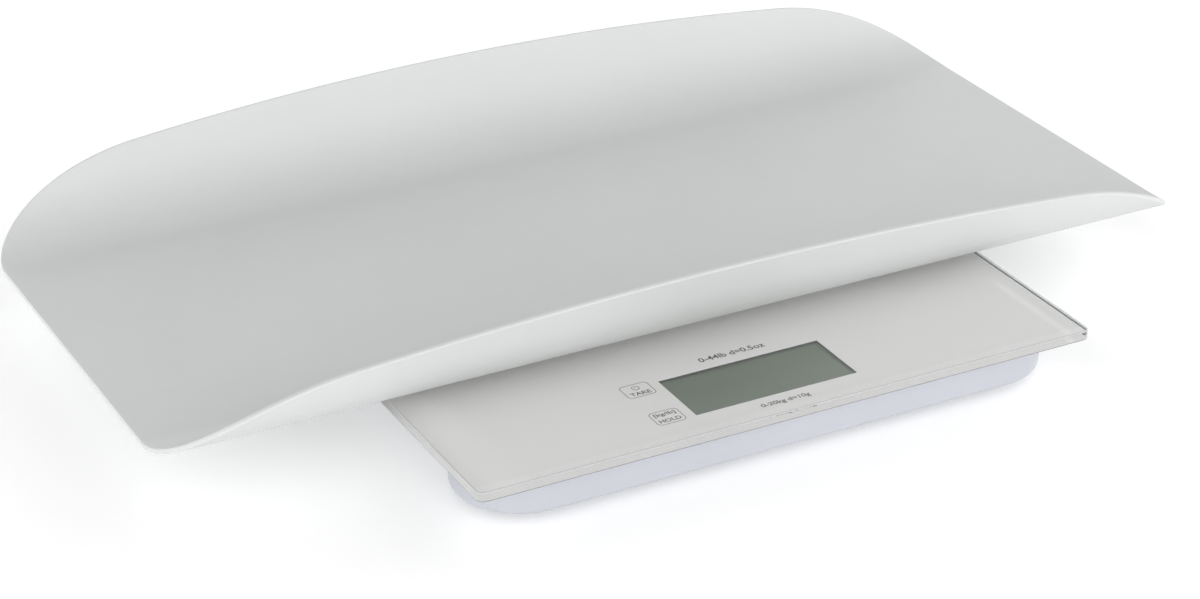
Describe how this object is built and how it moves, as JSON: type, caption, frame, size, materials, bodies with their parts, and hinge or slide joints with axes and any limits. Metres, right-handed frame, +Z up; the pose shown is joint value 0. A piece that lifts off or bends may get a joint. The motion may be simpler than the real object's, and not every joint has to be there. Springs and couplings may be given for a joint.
{
  "type": "digital baby weighing scale",
  "caption": "Baby scale with a long open-ended curved tray lying across a glass platform with a display and touch keys on a shallow base.",
  "frame": {"origin": "on the table, under the middle of the bounding box", "axes": "+Z up, +X along the tray, the display faces -Y"},
  "size_m": [0.5454, 0.3372, 0.0755],
  "materials": {
    "tray_plastic": "satin",
    "soft_pad": "matte",
    "platform_glass": "polished",
    "white_print": "satin",
    "foam_tape": "matte",
    "base_plastic": "satin",
    "dark_foam": "matte",
    "display_glass": "polished",
    "inner_plastic": "satin",
    "contact_rubber": "matte",
    "board_green": "satin",
    "chip_black": "satin",
    "board_part": "satin",
    "spring_steel": "polished",
    "screw_steel": "satin",
    "cell_steel": "satin",
    "gauge_film": "satin",
    "foot_plastic": "satin",
    "foot_rubber": "matte",
    "battery_jacket": "gloss",
    "contact_metal": "polished",
    "lead_red": "satin"
  },
  "bodies": {
    "root": {"glass_platform": "platform_glass", "back_print": "white_print", "bond_tape": "foam_tape", "base_shell": "base_plastic", "window_gasket": "dark_foam", "lcd_panel": "display_glass", "lcd_frame": "inner_plastic", "zebra_strips": "contact_rubber", "circuit_board": "board_green", "chip_blob": "chip_black", "board_parts": "board_part", "touch_spring_tare": "spring_steel", "touch_spring_hold": "spring_steel", "board_screws": "screw_steel", "load_cell_front_left": "cell_steel", "load_cell_front_right": "cell_steel", "load_cell_rear_left": "cell_steel", "load_cell_rear_right": "cell_steel", "strain_gauges": "gauge_film", "cell_bracket_front_left": "base_plastic", "cell_bracket_front_right": "base_plastic", "cell_bracket_rear_left": "base_plastic", "cell_bracket_rear_right": "base_plastic", "bracket_screws": "screw_steel", "batteries": "battery_jacket", "battery_springs": "spring_steel", "battery_plates": "contact_metal", "cell_leads": "lead_red", "battery_leads": "lead_red"},
    "tray": {"tray": "tray_plastic", "tray_pads": "soft_pad"},
    "battery_door": {"battery_door": "base_plastic"},
    "foot_front_left": {"foot_cup_front_left": "foot_plastic", "foot_pad_front_left": "foot_rubber"},
    "foot_front_right": {"foot_cup_front_right": "foot_plastic", "foot_pad_front_right": "foot_rubber"},
    "foot_rear_left": {"foot_cup_rear_left": "foot_plastic", "foot_pad_rear_left": "foot_rubber"},
    "foot_rear_right": {"foot_cup_rear_right": "foot_plastic", "foot_pad_rear_right": "foot_rubber"}
  },
  "joints": [
    {"name": "tray_lift", "type": "slide", "parent": "root", "child": "tray", "axis": [0, 0, 1], "range_m": [0, 0.08]},
    {"name": "battery_door_hinge", "type": "hinge", "parent": "root", "child": "battery_door", "pos_m": [-0.0291, -0.07629, 0.004], "axis": [0, 1, 0], "range_deg": [0, 75]},
    {"name": "foot_float_front_left", "type": "slide", "parent": "root", "child": "foot_front_left", "axis": [0, 0, -1], "range_m": [0, 0.0008]},
    {"name": "foot_float_front_right", "type": "slide", "parent": "root", "child": "foot_front_right", "axis": [0, 0, -1], "range_m": [0, 0.0008]},
    {"name": "foot_float_rear_left", "type": "slide", "parent": "root", "child": "foot_rear_left", "axis": [0, 0, -1], "range_m": [0, 0.0008]},
    {"name": "foot_float_rear_right", "type": "slide", "parent": "root", "child": "foot_rear_right", "axis": [0, 0, -1], "range_m": [0, 0.0008]}
  ]
}
